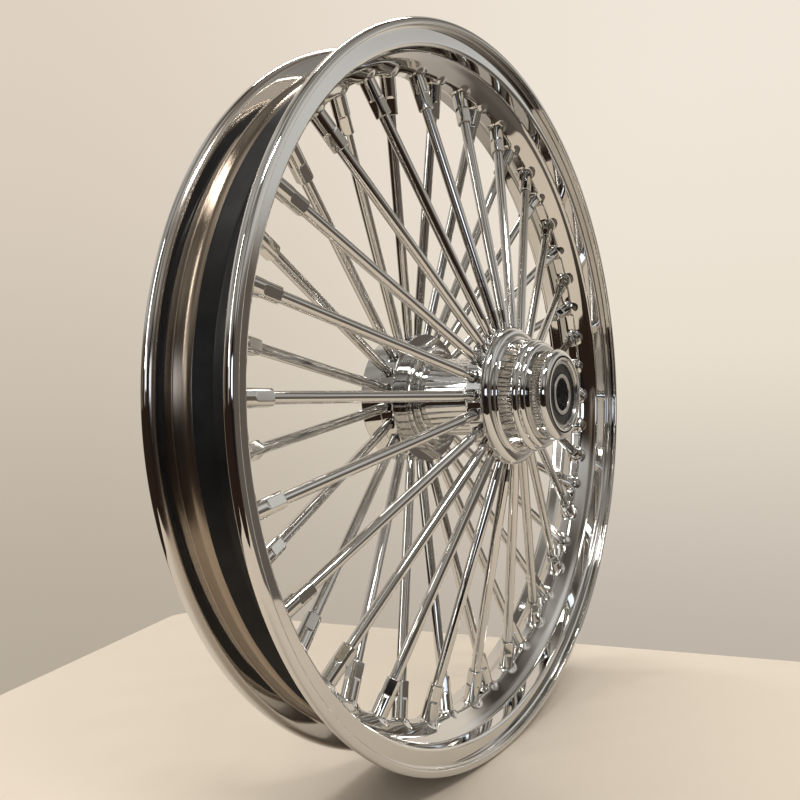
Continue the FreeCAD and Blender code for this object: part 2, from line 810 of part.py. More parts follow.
def bearing(side_name, centre, outward):
    """One sealed ball bearing as its six kinds of piece."""
    return [
        outer_race(side_name + "_bearing_outer_ring", centre, size.rest_turn),
        inner_race(side_name + "_bearing_inner_ring", centre),
        balls(side_name + "_bearing_balls", centre),
        cage(side_name + "_bearing_cage", centre),
        seal(side_name + "_bearing_outer_seal", centre, outward, size.rest_turn),
        seal(side_name + "_bearing_inner_seal", centre, -outward, size.rest_turn),
    ]


def bearing_spacer():
    """The tube on the axle that holds the two inner rings apart."""
    left_end = size.left_bearing_offset - size.bearing_width / 2
    right_end = -(size.right_bearing_offset - size.bearing_width / 2)
    outline = [
        (size.spacer_bore_radius, right_end),
        (size.spacer_outer_radius, right_end),
        (size.spacer_outer_radius, left_end),
        (size.spacer_bore_radius, left_end),
    ]
    return ring("bearing_spacer", outline)


def check_and_write(bodies):
    """Stops on any failed object or bad shape, then writes one STEP file per body."""
    DOCUMENT.recompute()
    for item in DOCUMENT.Objects:
        if "Invalid" in item.State or "Error" in item.State:
            raise RuntimeError(f"{item.Name} failed: {item.State}")
    for body in bodies:
        if body.Shape.isNull() or not body.Shape.isValid():
            raise RuntimeError(f"{body.Label} has no valid shape")
    os.makedirs("parts", exist_ok=True)
    for body in bodies:
        body.Shape.exportStep(f"parts/{body.Label}.step")
        print(f"{body.Label}: {len(body.Shape.Solids)} solids, {body.Shape.Volume / 1000:.2f} cm3")


def main():
    left_turn = size.rest_turn + HALF_PITCH
    bodies = [
        rim(),
        rim_strip(),
        spokes("right_spokes", RIGHT, size.rest_turn),
        spokes("left_spokes", LEFT, left_turn),
        nipples("right_nipples", RIGHT, size.rest_turn),
        nipples("left_nipples", LEFT, left_turn),
        hub_shell(),
        right_hub_cover(),
        left_disc_carrier(),
        bearing_spacer(),
    ]
    bodies += bearing("right", -size.right_bearing_offset, RIGHT)
    bodies += bearing("left", size.left_bearing_offset, LEFT)
    check_and_write(bodies)


main()
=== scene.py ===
import math
import random

import bmesh
import bpy
import numpy as np
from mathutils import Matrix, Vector


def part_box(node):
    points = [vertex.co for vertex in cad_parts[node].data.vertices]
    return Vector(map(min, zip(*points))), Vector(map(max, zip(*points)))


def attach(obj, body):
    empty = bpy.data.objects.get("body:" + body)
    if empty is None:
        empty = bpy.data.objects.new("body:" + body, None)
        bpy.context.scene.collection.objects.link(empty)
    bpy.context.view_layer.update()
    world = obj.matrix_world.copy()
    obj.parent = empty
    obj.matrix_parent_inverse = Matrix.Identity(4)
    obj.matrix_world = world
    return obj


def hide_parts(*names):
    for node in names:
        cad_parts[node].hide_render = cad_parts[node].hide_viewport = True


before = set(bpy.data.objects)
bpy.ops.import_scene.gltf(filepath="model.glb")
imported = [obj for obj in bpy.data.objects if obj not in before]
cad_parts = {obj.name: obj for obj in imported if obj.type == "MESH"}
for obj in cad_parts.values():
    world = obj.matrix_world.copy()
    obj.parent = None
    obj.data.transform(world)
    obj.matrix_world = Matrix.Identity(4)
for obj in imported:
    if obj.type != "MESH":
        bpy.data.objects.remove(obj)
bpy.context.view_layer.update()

# Lengths below are in millimetres and become metres where a mesh is made. A place on the
# wheel is a radius, an angle about the axle and an offset along it: the angle turns from
# +X towards -Z, and the offset is +Y, so the cover side (right) is negative.
MM = 0.001
REST_TURN = math.radians(-1.85)
PITCH = math.radians(15)
SPOKES_PER_SIDE = 24
RIGHT = -1
LEFT = 1

# The spoke's line, from the collar's surface to its end inside the nipple
SPOKE_START = np.array((54.6, 40.0))
SPOKE_END = np.array((247.0, 3.0))
SPOKE_LENGTH = float(np.linalg.norm(SPOKE_END - SPOKE_START))
LEAN_COSINE, LEAN_SINE = (SPOKE_END - SPOKE_START) * (1, -1) / SPOKE_LENGTH

# How much of a run between two corners one rounding may take, so that no two meet
RUN_SHARE = 0.49
# Beyond this many blend widths, one of two blended lengths no longer counts
WIDEST_GAP = 40
# How a drilled hole is found on a surface and joined to it
PROBE_STEP = 1e-4
SEARCH_ROUNDS = 12
RINGS_ROUND_HOLE = 5


# ---- mesh helpers

def wheel_point(radius, angle, offset):
    """The point, or points, at a radius, angle and offset."""
    radius, angle, offset = np.broadcast_arrays(radius, angle, offset)
    return np.stack((radius * np.cos(angle), offset, -radius * np.sin(angle)), -1)


def surface_point(surface, angle, value):
    """The point, or points, of a surface that gives radii and offsets."""
    radius, offset = surface(angle, value)
    return wheel_point(radius, angle, offset)


def circle_surface(radius, offset):
    """A surface that is one circle round the axle."""
    return lambda angle: (radius, offset)


def cylinder_surface(radius):
    """A surface round the axle, whose value is the offset."""
    return lambda angle, offset: (radius, offset)


def spoke_axis(side, index):
    """A spoke's start, its direction and two directions across it."""
    shift = 0 if side == RIGHT else PITCH / 2
    angle = REST_TURN + shift + index * PITCH
    out = wheel_point(1.0, angle, 0.0)
    axle = np.array((0.0, float(side), 0.0))
    start = out * SPOKE_START[0] + axle * SPOKE_START[1]
    along = out * LEAN_COSINE - axle * LEAN_SINE
    across = out * LEAN_SINE + axle * LEAN_COSINE
    return start, along, across, np.cross(along, across)


def rounded(corners, closed=True, steps=5):
    """An outline of (radius, offset, rounding) corners, with each corner as an arc."""
    points = []
    count = len(corners)
    for index, corner in enumerate(corners):
        here = np.array(corner[:2], float)
        rounding = corner[2] if len(corner) > 2 else 0.0
        at_end = not closed and index in (0, count - 1)
        if rounding == 0 or at_end:
            points.append(here)
            continue
        before = np.array(corners[index - 1][:2], float) - here
        after = np.array(corners[(index + 1) % count][:2], float) - here
        before_length, after_length = np.linalg.norm(before), np.linalg.norm(after)
        before, after = before / before_length, after / after_length
        half = math.acos(float(np.clip(before @ after, -1, 1))) / 2
        longest = RUN_SHARE * min(before_length, after_length)
        reach = min(rounding / math.tan(half), longest)
        radius = reach * math.tan(half)
        inward = (before + after) / np.linalg.norm(before + after)
        centre = here + inward * radius / math.sin(half)
        first, last = here + before * reach - centre, here + after * reach - centre
        spread = math.pi - 2 * half
        for step in range(steps + 1):
            share = step / steps
            weights = np.array((math.sin((1 - share) * spread), math.sin(share * spread)))
            points.append(centre + (weights[0] * first + weights[1] * last) / math.sin(spread))
    return np.array(points)


def bulged(start, end, radius, steps=8):
    """The points of an arc between two places, bulging to the right of the way there."""
    start, end = np.array(start, float), np.array(end, float)
    chord = end - start
    length = np.linalg.norm(chord)
    right = np.array((chord[1], -chord[0])) / length
    centre = (start + end) / 2 - right * math.sqrt(radius ** 2 - length ** 2 / 4)
    half = math.asin(length / 2 / radius)
    points = []
    for step in range(steps + 1):
        turn = half * (2 * step / steps - 1)
        spot = centre + radius * (right * math.cos(turn) + chord / length * math.sin(turn))
        points.append((float(spot[0]), float(spot[1])))
    return points


def subdivided(points, longest):
    """An open outline with no run longer than a length."""
    result = [points[0]]
    for start, end in zip(points[:-1], points[1:]):
        cuts = max(1, math.ceil(float(np.linalg.norm(end - start)) / longest))
        for cut in range(1, cuts + 1):
            result.append(start + (end - start) * cut / cuts)
    return np.array(result)


def linked(name, data):
    """A new object of a mesh, light or camera, in the scene."""
    holder = bpy.data.objects.new(name, data)
    bpy.context.scene.collection.objects.link(holder)
    return holder


def make_object(name, vertices, faces, material):
    """A smooth mesh object of points in millimetres, without the points no face uses."""
    mesh = bpy.data.meshes.new(name)
    mesh.from_pydata((np.asarray(vertices) * MM).tolist(), [], faces)
    shape = bmesh.new()
    shape.from_mesh(mesh)
    bmesh.ops.recalc_face_normals(shape, faces=shape.faces)
    loose = [vertex for vertex in shape.verts if not vertex.link_faces]
    bmesh.ops.delete(shape, geom=loose, context="VERTS")
    shape.to_mesh(mesh)
    shape.free()
    mesh.polygons.foreach_set("use_smooth", [True] * len(mesh.polygons))
    mesh.materials.append(material)
    return linked(name, mesh)


def keep_flats_flat(piece):
    """Weights the shading by face size, so that flat faces next to roundings stay flat."""
    weighted = piece.modifiers.new("weighted", "WEIGHTED_NORMAL")
    weighted.keep_sharp = True
    weighted.weight = 100


class Turned:
    """A closed section carried round the axle, which may be dented and drilled.

    rows is the section: each row is a function from angles to (radii, offsets).
    """

    def __init__(self, columns):
        self.columns = columns
        self.rows = []
        self.removed = set()
        self.extra_points = []
        self.extra_faces = []

    def angles(self):
        return REST_TURN + np.arange(self.columns) * 2 * math.pi / self.columns

    def plain(self, outline):
        """Adds rows that are plain circles."""
        self.rows.extend(circle_surface(radius, offset) for radius, offset in outline)

    def zone(self, surface, values):
        """Adds rows of a surface (angle, value) -> (radius, offset), ready to drill."""
        first = len(self.rows)
        for value in values:
            self.rows.append(lambda angle, value=value: surface(angle, value))
        return {"surface": surface, "values": np.array(values), "first": first}

    def grid_points(self):
        angles = self.angles()
        return np.array([wheel_point(row(angles)[0], angles, row(angles)[1]) for row in self.rows])

    def add_points(self, points):
        """Adds loose points and returns their numbers."""
        first = len(self.rows) * self.columns + len(self.extra_points)
        self.extra_points.extend(np.asarray(points).tolist())
        return list(range(first, first + len(points)))

    def band(self, one, other):
        """Joins two rings of points with quads."""
        count = len(one)
        for step in range(count):
            following = (step + 1) % count
            self.extra_faces.append((one[step], one[following], other[following], other[step]))

    def block_edge(self, zone, column, row, half):
        """Clears a square block of faces and returns its edge: numbers, angles, values."""
        run = range(-half, half)
        steps = [(step, -half) for step in run] + [(half, step) for step in run]
        steps += [(-step, half) for step in run] + [(-half, -step) for step in run]
        first, values = zone["first"], zone["values"]
        direction = 1 if values[-1] > values[0] else -1
        centre = row if direction == 1 else len(values) - 1 - row
        for across in run:
            for up in run:
                low = first + centre + up
                self.removed.add((low, (column + across) % self.columns))
        numbers, angles, heights = [], [], []
        pitch = 2 * math.pi / self.columns
        for across, up in steps:
            place = centre + direction * up
            numbers.append((first + place) * self.columns + (column + across) % self.columns)
            angles.append(REST_TURN + (column + across) * pitch)
            heights.append(values[place])
        return numbers, np.array(angles), np.array(heights)

    def ring_on(self, zone, column, row, half, axis, radius):
        """A circle about an axis, found on a zone's surface and joined to its block.

        The block is 2 * half faces wide and high. The circle's points and turns are returned.
        """
        numbers, angles, values = self.block_edge(zone, column, row, half)
        surface = zone["surface"]
        start, _, side_a, side_b = axis
        middle_angle, middle_value = angles.mean(), values.mean()

        def shadow(angle, value):
            spot = surface_point(surface, angle, value) - start
            return spot @ side_a, spot @ side_b

        a0, b0 = shadow(middle_angle, middle_value)
        a1, b1 = shadow(middle_angle + PROBE_STEP, middle_value)
        a2, b2 = shadow(middle_angle, middle_value + PROBE_STEP)
        slopes = np.array(((a1 - a0, a2 - a0), (b1 - b0, b2 - b0))) / PROBE_STEP
        edge_a, edge_b = shadow(angles, values)
        turn = np.arctan2(edge_b, edge_a)
        around = np.unwrap(turn)
        way_round = np.sign(around[-1] - around[0])
        even = around[0] + way_round * np.arange(len(around)) * 2 * math.pi / len(around)
        even += (around - even).mean()
        goal = np.stack((radius * np.cos(even), radius * np.sin(even)))
        guess = np.array(((middle_angle,), (middle_value,))) * np.ones((1, len(around)))
        for _ in range(SEARCH_ROUNDS):
            miss = goal - np.stack(shadow(guess[0], guess[1]))
            guess = guess + np.linalg.solve(slopes, miss)
        previous = numbers
        for ring in range(1, RINGS_ROUND_HOLE + 1):
            share = ring / RINGS_ROUND_HOLE
            angle = angles + (guess[0] - angles) * share
            value = values + (guess[1] - values) * share
            current = self.add_points(surface_point(surface, angle, value))
            self.band(previous, current)
            previous = current
        return previous, even

    def wall(self, ring, turns, axis, stations):
        """Continues a drilled ring along its axis through (distance, radius) stations."""
        start, along, side_a, side_b = axis
        for distance, radius in stations:
            circle = np.outer(np.cos(turns), side_a) + np.outer(np.sin(turns), side_b)
            current = self.add_points(start + along * distance + circle * radius)
            self.band(ring, current)
            ring = current
        return ring

    def build(self, name, material):
        grid = self.grid_points()
        count = len(self.rows)
        faces = list(self.extra_faces)
        for row in range(count):
            above = (row + 1) % count
            for column in range(self.columns):
                if (row, column) in self.removed:
                    continue
                beside = (column + 1) % self.columns
                faces.append((row * self.columns + column, row * self.columns + beside,
                              above * self.columns + beside, above * self.columns + column))
        points = grid.reshape(-1, 3)
        if self.extra_points:
            points = np.vstack((points, np.array(self.extra_points)))
        return make_object(name, points, faces, material)


def lathe(name, corners, material, columns, steps=5):
    """A closed section with rounded corners, turned about the axle."""
    body = Turned(columns)
    body.plain(rounded(corners, steps=steps))
    piece = body.build(name, material)
    keep_flats_flat(piece)
    return piece


def shown(piece, body, slot, *nodes):
    """Rides a finished piece on its CAD body, in place of the CAD nodes it stands for."""
    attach(piece, body)
    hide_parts(*nodes)


# ---- materials

# The sockets of a Mix node for each kind of value: its first input, second input and output
MIX_SOCKETS = {"FLOAT": (2, 3, 0), "RGBA": (6, 7, 2)}

# The rim's tyre side: its tone, its roughness, and how much a face belongs to it by its
# offset in metres and by the cosine of its turn away from straight outwards
CHANNEL_TONE = (0.34, 0.28, 0.22)
CHANNEL_ROUGHNESS = 0.24
CHANNEL_END = ((0.0275, 1.0), (0.0290, 0.0))
CHANNEL_FACING = ((0.05, 0.0), (0.35, 1.0))


def plug(tree, socket, value):
    """Links a socket to an output, or gives it a value."""
    if isinstance(value, bpy.types.NodeSocket):
        tree.links.new(value, socket)
    else:
        socket.default_value = (*value, 1) if socket.type == "RGBA" else value


def new_node(tree, kind, **values):
    """A shader node with some of its inputs given, a name's spaces written as _."""
    node = tree.nodes.new("ShaderNode" + kind)
    for name, value in values.items():
        plug(tree, node.inputs[name.replace("_", " ")], value)
    return node


def maths(tree, kind, operation, *values):
    """A Math or Vector Math node's outputs."""
    node = new_node(tree, kind)
    node.operation = operation
    for socket, value in zip(node.inputs, values):
        plug(tree, socket, value)
    return node.outputs


def mixed(tree, kind, factor, one, other):
    """Goes from one number (FLOAT) or colour (RGBA) to another by a factor."""
    node = new_node(tree, "Mix")
    node.data_type = kind
    first, second, result = MIX_SOCKETS[kind]
    plug(tree, node.inputs["Factor"], factor)
    plug(tree, node.inputs[first], one)
    plug(tree, node.inputs[second], other)
    return node.outputs[result]


def shader_input(material, name):
    return material.node_tree.nodes["Principled BSDF"].inputs[name]


def new_material(name, colour, metallic, roughness):
    """A plain material, ready for more."""
    material = bpy.data.materials.new(name)
    material.use_nodes = True
    shader_input(material, "Base Color").default_value = (*colour, 1)
    shader_input(material, "Metallic").default_value = metallic
    shader_input(material, "Roughness").default_value = roughness
    return material


def add_noise(material, scale, detail=3.0):
    """A cloudy noise over the piece, with so many clouds to the metre."""
    tree = material.node_tree
    place = new_node(tree, "TexCoord").outputs["Object"]
    return new_node(tree, "TexNoise", Scale=scale, Detail=detail, Vector=place).outputs["Fac"]


def shades(tree, source, stops):
    """A colour or grey by a source's level, from stops of (level, colour or grey)."""
    node = new_node(tree, "ValToRGB", Fac=source)
    elements = node.color_ramp.elements
    for index, (level, value) in enumerate((stops[0], stops[-1])):
        elements[index].position = level
        elements[index].color = (*as_colour(value), 1)
    for level, value in stops[1:-1]:
        elements.new(level).color = (*as_colour(value), 1)
    return node.outputs["Color"]


def as_colour(value):
    return value if isinstance(value, tuple) else (value,) * 3


def vary(material, name, source, low, high, first, last):
    """Runs one of a material's inputs from first to last between two levels of a source."""
    tree = material.node_tree
    tree.links.new(shades(tree, source, ((low, first), (high, last))), shader_input(material, name))


def add_bump(material, source, strength, distance):
    """Raises and lowers the shading by a source, up to a distance in metres."""
    tree = material.node_tree
    bump = new_node(tree, "Bump", Strength=strength, Distance=distance, Height=source)
    tree.links.new(bump.outputs["Normal"], shader_input(material, "Normal"))


def chrome(name, tint, clean, hazy, wave):
    """Plated steel: a mirror with faint haze patches and the slow wave of its polish."""
    material = new_material(name, tint, 1.0, clean)
    haze = add_noise(material, scale=38.0, detail=4.0)
    vary(material, "Roughness", haze, low=0.42, high=0.78, first=clean, last=hazy)
    stain = add_noise(material, scale=9.0, detail=2.0)
    darker = tuple(channel * 0.93 for channel in tint)
    vary(material, "Base Color", stain, low=0.35, high=0.7, first=tint, last=darker)
    ripple = add_noise(material, scale=120.0, detail=1.0)
    add_bump(material, ripple, strength=0.25, distance=wave)
    return material


def dull_channel(material):
    """Adds the rim's tyre side, which is left unpolished, to its chrome: a hazy bronze."""
    tree = material.node_tree
    place = new_node(tree, "TexCoord").outputs
    level = maths(tree, "VectorMath", "MULTIPLY", place["Object"], (1.0, 0.0, 1.0))
    outward = maths(tree, "VectorMath", "NORMALIZE", level["Vector"])
    facing = maths(tree, "VectorMath", "DOT_PRODUCT", outward["Vector"], place["Normal"])
    apart = new_node(tree, "SeparateXYZ", Vector=place["Object"])
    offset = maths(tree, "Math", "ABSOLUTE", apart.outputs["Y"])
    between = shades(tree, offset["Value"], CHANNEL_END)
    outside = shades(tree, facing["Value"], CHANNEL_FACING)
    inside = maths(tree, "Math", "MULTIPLY", between, outside)["Value"]
    for name, kind, value in (("Base Color", "RGBA", CHANNEL_TONE),
                              ("Roughness", "FLOAT", CHANNEL_ROUGHNESS)):
        socket = shader_input(material, name)
        before = socket.links[0].from_socket
        tree.links.new(mixed(tree, kind, inside, before, value), socket)


def rubber(name, colour, roughness):
    """Moulded rubber with dust, scuffs and a fine grain."""
    material = new_material(name, colour, 0.0, roughness)
    shader_input(material, "Specular IOR Level").default_value = 0.25
    dust = add_noise(material, scale=60.0, detail=5.0)
    dusty = tuple(channel * 1.9 + 0.004 for channel in colour)
    vary(material, "Base Color", dust, low=0.45, high=0.85, first=colour, last=dusty)
    scuff = add_noise(material, scale=25.0, detail=3.0)
    vary(material, "Roughness", scuff, low=0.3, high=0.75, first=roughness * 0.8, last=roughness * 1.25)
    grain = add_noise(material, scale=900.0, detail=2.0)
    add_bump(material, grain, strength=0.3, distance=0.0002)
    return material


def ground_steel(name, colour, roughness):
    """Steel with fine turning marks round the axle."""
    material = new_material(name, colour, 1.0, roughness)
    tree = material.node_tree
    place = new_node(tree, "TexCoord").outputs["Object"]
    rings = new_node(tree, "TexWave", Scale=900.0, Distortion=2.0, Vector=place)
    rings.wave_type = "RINGS"
    rings.rings_direction = "Y"
    marks = rings.outputs["Fac"]
    vary(material, "Roughness", marks, low=0.2, high=0.9, first=roughness, last=roughness * 1.6)
    add_bump(material, marks, strength=0.15, distance=0.00004)
    return material


def clouded(name, colour, roughness, scale, low, high, change):
    """A smooth dull surface, cloudy between its colour and a paler or darker one."""
    material = new_material(name, colour, 0.0, roughness)
    changed = tuple(channel * change for channel in colour)
    vary(material, "Base Color", add_noise(material, scale), low, high, colour, changed)
    return material


def moulded_plastic(name, colour):
    """Pale plastic with faint clouds and a fine grain."""
    material = clouded(name, colour, 0.5, scale=150.0, low=0.3, high=0.8, change=1.12)
    add_bump(material, add_noise(material, scale=1500.0), strength=0.2, distance=0.0001)
    return material


RIM_CHROME = chrome("rim_chrome", (0.69, 0.68, 0.66), clean=0.035, hazy=0.07, wave=0.00003)
dull_channel(RIM_CHROME)
SPOKE_CHROME = chrome("spoke_chrome", (0.66, 0.65, 0.63), clean=0.05, hazy=0.09, wave=0.00002)
NIPPLE_CHROME = chrome("nipple_chrome", (0.68, 0.67, 0.64), clean=0.05, hazy=0.10, wave=0.00002)
HUB_CHROME = chrome("hub_chrome", (0.66, 0.66, 0.65), clean=0.04, hazy=0.08, wave=0.00002)
COVER_CHROME = chrome("cover_chrome", (0.69, 0.69, 0.68), clean=0.03, hazy=0.06, wave=0.00002)
STRIP_RUBBER = rubber("strip_rubber", (0.010, 0.010, 0.010), roughness=0.42)
SEAL_RUBBER = rubber("seal_rubber", (0.012, 0.012, 0.014), roughness=0.38)
BEARING_STEEL = ground_steel("bearing_steel", (0.56, 0.56, 0.56), roughness=0.22)
BALL_STEEL = ground_steel("ball_steel", (0.75, 0.75, 0.76), roughness=0.06)
SPACER_STEEL = ground_steel("spacer_steel", (0.45, 0.45, 0.46), roughness=0.35)
CAGE_PLASTIC = moulded_plastic("cage_plastic", (0.62, 0.52, 0.36))


# ---- rim

RIM_RADIUS = 281.5
RIM_HALF_WIDTH = 37.5
LIP_CREASE_RADIUS = 276.4
FLANGE_OUTSIDE = 31.0
FLANGE_INSIDE = 28.2
SEAT_RADIUS = 267.5
SEAT_BACK_RADIUS = 264.3
WELL_RADIUS = 256.7
WELL_BACK_RADIUS = 253.0
WELL_HALF_WIDTH = 5.3
# The hub side and the tyre side between the flanges, as folds of (offset, radius), and how
# far each side's bends are evened out
BACK_FOLD = ((0, WELL_BACK_RADIUS), (5.0, WELL_BACK_RADIUS), (7.3, 254.6), (15.0, 260.6),
             (18.5, SEAT_BACK_RADIUS), (25.0, SEAT_BACK_RADIUS))
BACK_SPREAD = 0.9
TYRE_FOLD = ((0, WELL_RADIUS), (WELL_HALF_WIDTH, WELL_RADIUS), (16.5, 266.4), (25.6, SEAT_RADIUS))
TYRE_SPREAD = 0.7

# A dimple is a ball pressed in: its crest's distance along the spoke, its radius, and the
# width over which its edge blends into the rim
DIMPLE_CREST = 198.4
DIMPLE_RADIUS = 9.2
DIMPLE_BLEND = 0.9
OUT_OF_REACH = 1e3

# The rim's mesh: rows this far apart across the wheel, and columns round it
ROW_PITCH = 1.3
BACK_ROWS = 14
TYRE_ROWS = 12
COLUMNS_PER_NIPPLE = 24
RIM_COLUMNS = COLUMNS_PER_NIPPLE * SPOKES_PER_SIDE * 2
NIPPLE_BLOCK = 7
VALVE_BLOCK = 4

NIPPLE_HOLE = 6.2
NIPPLE_POCKET = 7.2
NIPPLE_SEAT_START = 201.6
NIPPLE_SEAT_END = 203.2
VALVE_HOLE = 4.25
VALVE_TURN = math.radians(86.25)


def softened(points, values, spread):
    """The radius of a fold of (offset, radius) points, evened out over a short spread."""
    xs, ys = zip(*points)
    shifts = np.linspace(-spread, spread, 9)
    return sum(np.interp(np.abs(values + shift), xs, ys) for shift in shifts) / len(shifts)


def lesser(one, other, blend):
    """The lesser of two lengths, blended where they are nearly equal."""
    gap = np.clip((one - other) / blend, -WIDEST_GAP, WIDEST_GAP)
    return other - blend * np.log1p(np.exp(-gap))


def dented(radius, angle, offset):
    """Lowers a surface's radius to the ball pressed in round each nipple's axis."""
    centre_along = DIMPLE_CREST + DIMPLE_RADIUS
    centre_radius = SPOKE_START[0] + centre_along * LEAN_COSINE
    centre_offset = SPOKE_START[1] - centre_along * LEAN_SINE
    for side in (RIGHT, LEFT):
        shift = 0 if side == RIGHT else PITCH / 2
        turn = (angle - REST_TURN - shift + PITCH / 2) % PITCH - PITCH / 2
        under = DIMPLE_RADIUS ** 2 - (centre_radius * np.sin(turn)) ** 2
        under = under - (offset - side * centre_offset) ** 2
        ball = centre_radius * np.cos(turn) - np.sqrt(np.maximum(under, 0))
        ball = np.where(under > 0, ball, OUT_OF_REACH)
        radius = lesser(ball, radius, DIMPLE_BLEND)
    return radius


def back_surface(angle, offset):
    """The rim's hub-side face: the well, its ramps and the dimples."""
    return dented(softened(BACK_FOLD, offset, BACK_SPREAD), angle, offset), offset


def tyre_surface(angle, offset):
    """The rim's tyre-side face: the floor of the well and the slopes up to the seats."""
    return softened(TYRE_FOLD, offset, TYRE_SPREAD), offset


def build_rim():
    """The rim: the hub side, a flange and its lip, the tyre side, and the other flange."""
    body = Turned(RIM_COLUMNS)
    flange = [
        (SEAT_BACK_RADIUS, 18.9),
        (SEAT_BACK_RADIUS, 29.0, 1.2),
        (266.0, 30.3, 1.2),
        (275.0, FLANGE_OUTSIDE, 0.8),
        (LIP_CREASE_RADIUS, 31.9, 0.5),
        (275.9, 34.7, 2.0),
        (275.95, 37.45, 2.7),
        (RIM_RADIUS, RIM_HALF_WIDTH, 2.8),
        (RIM_RADIUS, FLANGE_INSIDE, 5.6),
        (269.3, 27.6),
        (SEAT_RADIUS, 27.5, 1.8),
        (267.3, 24.0),
        (266.6, 18.4),
    ]
    flange = subdivided(rounded(flange, closed=False, steps=10), longest=1.6)
    back = body.zone(back_surface, np.arange(-BACK_ROWS, BACK_ROWS + 1) * ROW_PITCH)
    body.plain(flange)
    tyre = body.zone(tyre_surface, np.arange(TYRE_ROWS, -TYRE_ROWS - 1, -1) * ROW_PITCH)
    body.plain([(radius, -offset) for radius, offset in flange[::-1]])
    for side in (RIGHT, LEFT):
        for index in range(SPOKES_PER_SIDE):
            axis = spoke_axis(side, index)
            column = index * COLUMNS_PER_NIPPLE * 2 + (0 if side == RIGHT else COLUMNS_PER_NIPPLE)
            outer, turns = body.ring_on(back, column, BACK_ROWS + side * 2, NIPPLE_BLOCK, axis, NIPPLE_HOLE)
            inner, inner_turns = body.ring_on(tyre, column, TYRE_ROWS + side, NIPPLE_BLOCK, axis,
                                              NIPPLE_POCKET)
            seat = ((NIPPLE_SEAT_START, NIPPLE_HOLE), (NIPPLE_SEAT_END, NIPPLE_POCKET))
            outer = body.wall(outer, turns, axis, seat)
            join_rings(body, outer, turns, inner, inner_turns)
    column = round(VALVE_TURN / (2 * math.pi) * RIM_COLUMNS)
    angle = REST_TURN + VALVE_TURN
    axis = (np.zeros(3), wheel_point(1.0, angle, 0.0), np.array((0.0, 1.0, 0.0)),
            wheel_point(1.0, angle + math.pi / 2, 0.0))
    outer, turns = body.ring_on(back, column, BACK_ROWS, VALVE_BLOCK, axis, VALVE_HOLE)
    inner, inner_turns = body.ring_on(tyre, column, TYRE_ROWS, VALVE_BLOCK, axis, VALVE_HOLE)
    join_rings(body, outer, turns, inner, inner_turns)
    piece = body.build("rim_plated", RIM_CHROME)
    shown(piece, "wheel", "rim_chrome", "rim")


def join_rings(body, one, one_turns, other, other_turns):
    """Bands two rings whose points start at different turns or run opposite ways."""
    first = np.exp(1j * np.asarray(one_turns))
    second = np.exp(1j * np.asarray(other_turns))
    order = [int(np.argmin(abs(second - value))) for value in first]
    step = 1 if (order[1] - order[0]) % len(order) == 1 else -1
    matched = [other[(order[0] + step * place) % len(order)] for place in range(len(order))]
    body.band(one, matched)


# The strip's underside: its flat middle and its edge, as (radius, offset)
STRIP_MIDDLE = (256.75, 5.25)
STRIP_EDGE = (264.4, 14.08)
STRIP_COLUMNS = 720
# Only what stands this far above the underside is uneven
STRIP_EVEN_DEPTH = 0.6


def strip_swell(angle, offset):
    """How far the strip's top stands out: over each nipple head, and in slow waves."""
    over_heads = 0.16 * math.sin(angle * SPOKES_PER_SIDE) * math.exp(-(offset / 6) ** 2)
    slow = 0.12 * math.sin(angle * 7 + 1.3)
    quick = 0.08 * math.sin(angle * 31 + offset * 0.3)
    return over_heads + slow + quick


def build_strip():
    """The rubber strip, pulled over the nipple heads, with a slightly uneven edge."""
    inner = [(*STRIP_MIDDLE, 1.0), (*STRIP_EDGE, 0.2), (265.46, 13.17, 0.35), (258.15, 4.73, 2.0)]
    corners = inner + [(radius, -offset, rounding) for radius, offset, rounding in inner[::-1]]
    outline = rounded(corners)
    body = Turned(STRIP_COLUMNS)
    body.plain(subdivided(np.vstack((outline, outline[:1])), longest=1.3)[:-1])
    piece = body.build("rim_strip_rubber", STRIP_RUBBER)
    for vertex in piece.data.vertices:
        x, y, z = vertex.co
        radius = math.hypot(x, z)
        underside = np.interp(abs(y) / MM, (0, STRIP_MIDDLE[1], STRIP_EDGE[1]),
                              (STRIP_MIDDLE[0], STRIP_MIDDLE[0], STRIP_EDGE[0]))
        if radius / MM - underside < STRIP_EVEN_DEPTH:
            continue
        grown = 1 + strip_swell(math.atan2(-z, x), y / MM) * MM / radius
        vertex.co.x, vertex.co.z = x * grown, z * grown
    shown(piece, "wheel", "strip_rubber", "rim_strip")


# ---- spokes and nipples

SPOKE_RADIUS = 4.0
SPOKE_NECK_RADIUS = 3.4
SPOKE_HEAD_RADIUS = 4.6
SPOKE_HEAD_TOP = -8.2
SPOKE_HEAD_FOOT = -5.2
SPOKE_TURNS = 40


def add_tube(points, faces, axis, stations, turns, shape):
    """Adds a tube along an axis, closed at both ends by a middle point.

    shape(turns, station) gives the radii round each station's ring.
    """
    start, along, side_a, side_b = axis
    count, base = len(turns), len(points)
    for station in stations:
        radii = shape(turns, station)
        circle = np.outer(np.cos(turns) * radii, side_a) + np.outer(np.sin(turns) * radii, side_b)
        points.extend((start + along * station[0] + circle).tolist())
    last = len(points) - count
    for low in range(base, last, count):
        for step in range(count):
            following = (step + 1) % count
            faces.append((low + step, low + following, low + count + following, low + count + step))
    for low in (base, last):
        points.append(np.mean(points[low:low + count], axis=0).tolist())
        for step in range(count):
            faces.append((low + step, low + (step + 1) % count, len(points) - 1))


